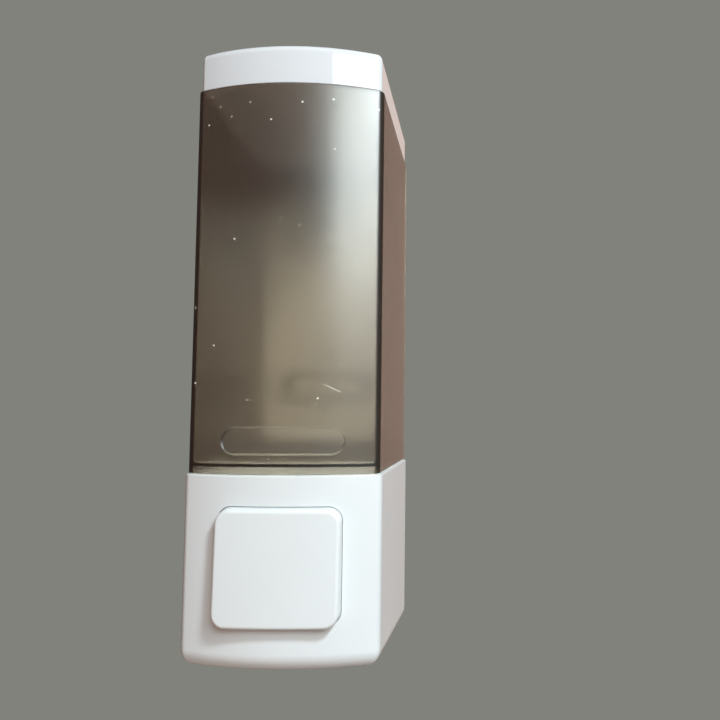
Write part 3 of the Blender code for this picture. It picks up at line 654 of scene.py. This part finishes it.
def build_button(looks):
    """The button: a bowed cap with a skirt, a retaining flange and a socket for the rod."""
    rings = [
        (inset, BUTTON_DRAFT, lambda x, z, back=back: button_face(x, z) + back)
        for inset, back in fillet(BUTTON_FILLET, BUTTON_FILLET_STEPS)
    ]
    rings.append((0.0, 0.0, lambda x, z: bow_y(x, -BASE_OUTSET) + EDGE))
    rings.append((0.0, 0.0, flat(BUTTON_REAR_Y)))
    button = bowed_block("button_shell", BUTTON_HALF, BUTTON_RADIUS, rings)
    flange_half = [half + FLANGE for half in BUTTON_HALF]
    flange_rings = [(0.0, 0.0, flat(y)) for y in (BUTTON_REAR_Y - FLANGE, BUTTON_REAR_Y)]
    flange = bowed_block("button_flange", flange_half, BUTTON_RADIUS + FLANGE, flange_rings)
    hollow_rings = [
        (BUTTON_SKIRT, BUTTON_DRAFT, lambda x, z: button_face(x, z) + BUTTON_PLATE),
        (BUTTON_SKIRT, 0.0, flat(BUTTON_REAR_Y + PAST)),
    ]
    hollow = bowed_block("button_hollow", BUTTON_HALF, BUTTON_RADIUS, hollow_rings)
    socket_ends = (button_face(0, 0) + BUTTON_PLATE / 2, SOCKET_REAR_Y)
    socket = cylinder("rod_socket", SOCKET, *((0, y, BUTTON_Z) for y in socket_ends))
    hole_ends = (ROD_FRONT_Y - GAP, SOCKET_REAR_Y + PAST)
    hole = cylinder("rod_hole", ROD + GAP, *((0, y, BUTTON_Z) for y in hole_ends))
    button = cut(join(cut(join(button, flange), hollow), socket), hole)
    return finish_shell(button, looks, "button", "push_button")


def build_spring(node, joint, axis, fixed_high, travel, looks):
    """A coil spring with closed end turns, in place of its plain solid."""
    low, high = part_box(node)
    wire, turns = SPRINGS[node]
    along = max(range(3), key=lambda i: abs(axis[i]))
    across = 0
    other = 3 - across - along
    radius = (high[across] - low[across]) / 2 - wire
    centre = (low + high) / 2
    length = high[along] - low[along]
    points = []
    for i in range(turns * COIL_STEPS + 1):
        share = i / (turns * COIL_STEPS)
        eased = spring_rise(share, turns, wire * CLOSED_PITCH / (length - 2 * wire))
        angle = math.tau * i / COIL_STEPS
        place = centre.copy()
        place[across] += radius * math.cos(angle)
        place[other] += radius * math.sin(angle)
        place[along] = low[along] + wire + (length - 2 * wire) * eased
        points.append(place)
    spring = swept(f"{node}_coil", points, wire)
    spring.data.materials.append(looks)
    spring.data.shade_smooth()
    spring.data.set_sharp_from_angle(angle=COIL_SHARP)
    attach(spring, "dispenser")
    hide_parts(node)
    anchor = centre.copy()
    anchor[along] = high[along] if fixed_high else low[along]
    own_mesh(spring)
    return spring


def spring_rise(share, turns, closed):
    """How far along a spring its wire is after a share of its turns: both end turns lie closed."""
    turn = share * turns
    if turn < 1:
        return closed * turn
    if turn > turns - 1:
        return 1 - closed * (turns - turn)
    return closed + (1 - 2 * closed) * (turn - 1) / (turns - 2)


class Look:
    """A node material: helpers that add and link nodes round one Principled shader."""

    def __init__(self, name):
        self.material = bpy.data.materials.new(name)
        self.material.use_nodes = True
        self.tree = self.material.node_tree
        self.shader = self.tree.nodes["Principled BSDF"]
        self.output = self.tree.nodes["Material Output"]
        self.place = self.add("ShaderNodeTexCoord").outputs["Object"]

    def add(self, kind, **settings):
        node = self.tree.nodes.new(kind)
        for key, value in settings.items():
            setattr(node, key, value)
        return node

    def link(self, source, target):
        self.tree.links.new(source, target)

    def set(self, **values):
        for key, value in values.items():
            self.shader.inputs[key.replace("_", " ")].default_value = value

    def noise(self, scale, detail=3.0, stretch=(1, 1, 1), rough=0.5):
        mapping = self.add("ShaderNodeMapping")
        mapping.inputs["Scale"].default_value = stretch
        self.link(self.place, mapping.inputs["Vector"])
        noise = self.add("ShaderNodeTexNoise")
        noise.inputs["Scale"].default_value = scale
        noise.inputs["Detail"].default_value = detail
        noise.inputs["Roughness"].default_value = rough
        self.link(mapping.outputs["Vector"], noise.inputs["Vector"])
        return noise.outputs["Fac"]

    def remap(self, source, low, high, out_low, out_high):
        node = self.add("ShaderNodeMapRange")
        for key, value in (
            ("From Min", low),
            ("From Max", high),
            ("To Min", out_low),
            ("To Max", out_high),
        ):
            node.inputs[key].default_value = value
        self.link(source, node.inputs["Value"])
        return node.outputs["Result"]

    def mix(self, factor, first, second):
        node = self.add("ShaderNodeMix", data_type="RGBA")
        self.link(factor, node.inputs["Factor"])
        for socket, value in ((node.inputs["A"], first), (node.inputs["B"], second)):
            if isinstance(value, tuple):
                socket.default_value = (*value, 1.0)
            else:
                self.link(value, socket)
        return node.outputs["Result"]

    def math(self, operation, first, second):
        node = self.add("ShaderNodeMath", operation=operation)
        for socket, value in zip(node.inputs, (first, second)):
            if isinstance(value, (int, float)):
                socket.default_value = value
            else:
                self.link(value, socket)
        return node.outputs["Value"]

    def pass_lamps(self):
        """Lets light from lamps through to what is behind, as thin clear walls do."""
        ray = self.add("ShaderNodeLightPath")
        clear = self.add("ShaderNodeBsdfTransparent")
        choose = self.add("ShaderNodeMixShader")
        self.link(ray.outputs["Is Shadow Ray"], choose.inputs["Fac"])
        self.link(self.shader.outputs["BSDF"], choose.inputs[1])
        self.link(clear.outputs["BSDF"], choose.inputs[2])
        self.link(choose.outputs["Shader"], self.output.inputs["Surface"])

    def bump(self, height, distance, target="Normal"):
        node = self.add("ShaderNodeBump")
        node.inputs["Distance"].default_value = distance
        self.link(height, node.inputs["Height"])
        self.link(node.outputs["Normal"], self.shader.inputs[target])


def moulded_plastic(name, colours, roughness, skin=SKIN, scatter=0.0):
    """Moulded plastic: faint flow clouds in its colour, uneven gloss and a fine skin."""
    look = Look(name)
    clouds = look.remap(look.noise(28, 4, (1, 1, 0.6)), *FLOW_RANGE, 0, 1)
    look.link(look.mix(clouds, *colours), look.shader.inputs["Base Color"])
    rub = look.noise(160, 5, (1, 1, 0.5), 0.6)
    look.link(look.remap(rub, *RUB_RANGE, *roughness), look.shader.inputs["Roughness"])
    skin_scale, skin_depth = skin
    look.bump(look.noise(skin_scale, 2), skin_depth)
    look.set(IOR=1.5)
    if scatter:
        look.set(Subsurface_Weight=scatter, Subsurface_Scale=0.004)
        look.shader.inputs["Subsurface Radius"].default_value = (1.0, 0.62, 0.5)
    return look.material


def smoked_plastic():
    """Smoked clear plastic: absorption through its thickness, flecks, and a smoother inside."""
    look = Look("smoked_plastic")
    clouds = look.remap(look.noise(16, 3, (1, 1, 0.35)), *CLOUD_RANGE, 0, 1)
    clear = look.mix(clouds, *CLEAR)
    flecks = look.math("MAXIMUM", dust_flecks(look), scratch(look))
    look.link(look.mix(flecks, clear, DUST), look.shader.inputs["Base Color"])
    look.link(look.remap(flecks, 0, 1, 1.0, 0.1), look.shader.inputs["Transmission Weight"])
    inner = inner_faces(look)
    satin = look.remap(look.noise(240, 5, (1, 1, 0.4), 0.65), *RUB_RANGE, *SATIN)
    polish = look.remap(inner, 0, 1, 1, INNER_SHARE)
    look.link(look.math("MULTIPLY", satin, polish), look.shader.inputs["Roughness"])
    look.bump(look.noise(GRAIN_SCALE, 2), GRAIN_DEPTH, "Coat Normal")
    look.set(IOR=1.52, Coat_Weight=COAT_WEIGHT, Coat_Roughness=COAT)
    look.pass_lamps()
    absorb = look.add("ShaderNodeVolumeAbsorption")
    absorb.inputs["Color"].default_value = (*SMOKE, 1.0)
    absorb.inputs["Density"].default_value = SMOKE_DENSITY
    look.link(absorb.outputs["Volume"], look.output.inputs["Volume"])
    return look.material


def inner_faces(look):
    """A mask of the tank's inner faces and its back: what lies within the middle of its walls."""
    centred = look.add("ShaderNodeMapping")
    centred.inputs["Location"].default_value = (0, -FRONT_Y - BOW_RADIUS, 0)
    centred.inputs["Scale"].default_value = (1, 1, 0)
    look.link(look.place, centred.inputs["Vector"])
    reach = look.add("ShaderNodeVectorMath", operation="LENGTH")
    look.link(centred.outputs["Vector"], reach.inputs[0])
    parts = look.add("ShaderNodeSeparateXYZ")
    look.link(look.place, parts.inputs["Vector"])
    sideways = look.math("ABSOLUTE", parts.outputs["X"], 0)
    behind_front = look.math("LESS_THAN", reach.outputs["Value"], BOW_RADIUS - TANK_WALL / 2)
    between_sides = look.math("LESS_THAN", sideways, WIDTH / 2 - TANK_WALL / 2)
    return look.math("MULTIPLY", behind_front, between_sides)


def dust_flecks(look):
    """A mask of a few small specks, where a surface passes close to a grid's scattered points."""
    cells = look.add("ShaderNodeTexVoronoi", feature="F1")
    cells.inputs["Scale"].default_value = DUST_SCALE
    look.link(look.place, cells.inputs["Vector"])
    return look.remap(cells.outputs["Distance"], *DUST_REACH, 1, 0)


def scratch(look):
    """A mask of one short light scratch low on the front."""
    start, end = Vector(SCRATCH[0]), Vector(SCRATCH[1])
    along = end - start
    offset = look.add("ShaderNodeVectorMath", operation="SUBTRACT")
    look.link(look.place, offset.inputs[0])
    offset.inputs[1].default_value = start
    dot = look.add("ShaderNodeVectorMath", operation="DOT_PRODUCT")
    look.link(offset.outputs["Vector"], dot.inputs[0])
    dot.inputs[1].default_value = along / along.length_squared
    share = look.add("ShaderNodeClamp")
    look.link(dot.outputs["Value"], share.inputs["Value"])
    reach = look.add("ShaderNodeVectorMath", operation="SCALE")
    reach.inputs[0].default_value = along
    look.link(share.outputs["Result"], reach.inputs["Scale"])
    away = look.add("ShaderNodeVectorMath", operation="DISTANCE")
    look.link(offset.outputs["Vector"], away.inputs[0])
    look.link(reach.outputs["Vector"], away.inputs[1])
    return look.remap(away.outputs["Value"], SCRATCH_WIDTH / 2, SCRATCH_WIDTH, SCRATCH_DUST, 0)


def drawn_steel(name, roughness, stretch):
    """Stainless steel with fine drawing lines and slight staining."""
    look = Look(name)
    stain = look.remap(look.noise(220, 4), *CLOUD_RANGE, 0, 1)
    look.link(look.mix(stain, *STEEL), look.shader.inputs["Base Color"])
    lines = look.noise(1500, 3, stretch)
    look.link(look.remap(lines, *RUB_RANGE, *roughness), look.shader.inputs["Roughness"])
    look.bump(lines, FINE_BUMP)
    look.set(Metallic=1.0)
    return look.material


def silicone():
    """Matte milky silicone with dust on it."""
    look = Look("milky_silicone")
    haze = look.remap(look.noise(300, 4), *CLOUD_RANGE, 0, 1)
    look.link(look.mix(haze, *MILKY), look.shader.inputs["Base Color"])
    rub = look.noise(800, 2)
    look.link(look.remap(rub, *RUB_RANGE, 0.5, 0.7), look.shader.inputs["Roughness"])
    look.bump(look.noise(1800, 2), FINE_BUMP)
    look.set(Subsurface_Weight=0.3, Subsurface_Scale=0.002, IOR=1.41)
    return look.material


def add_lamp(name, azimuth, elevation, size, radiance, colour):
    """A rectangular light aimed at the dispenser. Azimuth 0 is in front and grows to the right."""
    data = bpy.data.lights.new(name, "AREA")
    data.shape = "RECTANGLE"
    data.size, data.size_y = size
    data.energy = radiance * math.pi * size[0] * size[1]
    data.color = colour
    obj = bpy.data.objects.new(name, data)
    around, up = math.radians(azimuth), math.radians(elevation)
    reach = math.cos(up)
    towards = Vector((math.sin(around) * reach, -math.cos(around) * reach, math.sin(up)))
    obj.location = Vector(LIT_POINT) + LAMP_DISTANCE * towards
    obj.rotation_euler = (-towards).to_track_quat("-Z", "Y").to_euler()
    obj.visible_camera = False
    bpy.context.scene.collection.objects.link(obj)


def build_world():
    """A plain grey backdrop. The light it gives is dim and warm, with one bright band behind."""
    world = bpy.data.worlds.new("studio")
    bpy.context.scene.world = world
    world.use_nodes = True
    tree = world.node_tree
    backdrop = tree.nodes["Background"]
    backdrop.inputs["Color"].default_value = (*BACKDROP, 1.0)
    light = tree.nodes.new("ShaderNodeBackground")
    direction = tree.nodes.new("ShaderNodeTexCoord")
    parts = tree.nodes.new("ShaderNodeSeparateXYZ")
    tree.links.new(direction.outputs["Generated"], parts.inputs["Vector"])
    sideways = tree.nodes.new("ShaderNodeMapRange")
    sideways.inputs["From Min"].default_value = -1.0
    tree.links.new(parts.outputs["X"], sideways.inputs["Value"])
    behind = tree.nodes.new("ShaderNodeMapRange")
    for end, value in zip(("From Min", "From Max"), REAR_FROM_TO):
        behind.inputs[end].default_value = value
    tree.links.new(parts.outputs["Y"], behind.inputs["Value"])
    both = tree.nodes.new("ShaderNodeMix")
    both.data_type = "RGBA"
    tree.links.new(behind.outputs["Result"], both.inputs["Factor"])
    for colours, target in ((FRONT_AMBIENT, "A"), (REAR_AMBIENT, "B")):
        ramp = tree.nodes.new("ShaderNodeValToRGB")
        while len(ramp.color_ramp.elements) < len(colours):
            ramp.color_ramp.elements.new(0.5)
        for element, (place, colour) in zip(ramp.color_ramp.elements, colours):
            element.position = place
            element.color = (*colour, 1.0)
        tree.links.new(sideways.outputs["Result"], ramp.inputs["Fac"])
        tree.links.new(ramp.outputs["Color"], both.inputs[target])
    tree.links.new(both.outputs["Result"], light.inputs["Color"])
    seen = tree.nodes.new("ShaderNodeLightPath")
    choose = tree.nodes.new("ShaderNodeMixShader")
    tree.links.new(seen.outputs["Is Camera Ray"], choose.inputs["Fac"])
    tree.links.new(light.outputs["Background"], choose.inputs[1])
    tree.links.new(backdrop.outputs["Background"], choose.inputs[2])
    tree.links.new(choose.outputs["Shader"], tree.nodes["World Output"].inputs["Surface"])


def build_floor():
    """A plain pale floor, far below."""
    bm = bmesh.new()
    bmesh.ops.create_circle(bm, cap_ends=True, segments=96, radius=STAGE_RADIUS)
    bmesh.ops.translate(bm, verts=bm.verts, vec=(0, 0, STAGE_Z))
    floor = new_object("floor", bm)
    floor.data.materials.append(moulded_plastic("pale_floor", PALE_FLOOR, (0.5, 0.6)))


def add_camera():
    data = bpy.data.cameras.new("camera")
    data.sensor_width = SENSOR_WIDTH
    data.lens = LENS
    data.shift_x, data.shift_y = SHIFT
    data.clip_start = 0.01
    camera = bpy.data.objects.new("camera", data)
    turn = Matrix.Rotation(CAMERA_YAW, 4, "Z")
    turn = turn @ Matrix.Rotation(CAMERA_PITCH + math.pi / 2, 4, "X")
    turn = turn @ Matrix.Rotation(CAMERA_ROLL, 4, "Z")
    camera.matrix_world = Matrix.Translation(CAMERA_PLACE) @ turn
    bpy.context.scene.collection.objects.link(camera)
    bpy.context.scene.camera = camera


def build_shells():
    """The tank, the lid, the base and the button, each with its material."""
    gloss = moulded_plastic("gloss_white_plastic", LID_WHITE, (0.05, 0.09), GLOSS_SKIN, 0.05)
    satin = moulded_plastic("satin_white_plastic", SHELL_WHITE, (0.28, 0.36), scatter=0.05)
    matte = moulded_plastic("button_plastic", SHELL_WHITE, (0.34, 0.42), scatter=0.05)
    build_tank(smoked_plastic())
    build_lid(gloss)
    build_base(satin)
    build_button(matte)


def build_hidden_pieces():
    """The springs' coils, and better materials for the solids that keep their shape."""
    plain = moulded_plastic("plain_white_plastic", PLAIN_WHITE, (0.4, 0.5), PLAIN_SKIN)
    pump = moulded_plastic("natural_pump_plastic", PUMP_WHITE, (0.32, 0.44), PUMP_SKIN, 0.2)
    grey = moulded_plastic("grey_pump_plastic", PUMP_GREY, (0.35, 0.45))
    steel = drawn_steel("drawn_steel", (0.2, 0.36), (1, 1, 6))
    polished = drawn_steel("polished_steel", (0.08, 0.16), (1, 1, 1))
    springs = (
        ("return_spring", "button_press", (0, 1, 0), True, BUTTON_TRAVEL),
        ("outlet_spring", "outlet_check", (0, 0, 1), False, OUTLET_TRAVEL),
    )
    for spring in springs:
        build_spring(*spring, steel)
    groups = (
        (plain, ("wall_bracket", "rear_cover")),
        (pump, ("piston", "pump_body", "tank_locknut", "nozzle")),
        (grey, ("pump_gland", "inlet_seat")),
        (silicone(), ("piston_seal", "outlet_gasket")),
        (polished, ("inlet_ball", "outlet_ball")),
        (steel, [f"cover_screw_{i + 1}" for i in range(4)]),
        (steel, [f"pump_screw_{i + 1}" for i in range(2)]),
    )
    for look, nodes in groups:
        for node in nodes:
            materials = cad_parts[node].data.materials
            materials.clear()
            materials.append(look)


def main():
    add_camera()
    build_shells()
    build_hidden_pieces()
    build_world()
    build_floor()
    for name, lamp in LAMPS.items():
        add_lamp(name, *lamp)
    bpy.context.scene.view_settings.view_transform = "Standard"


main()
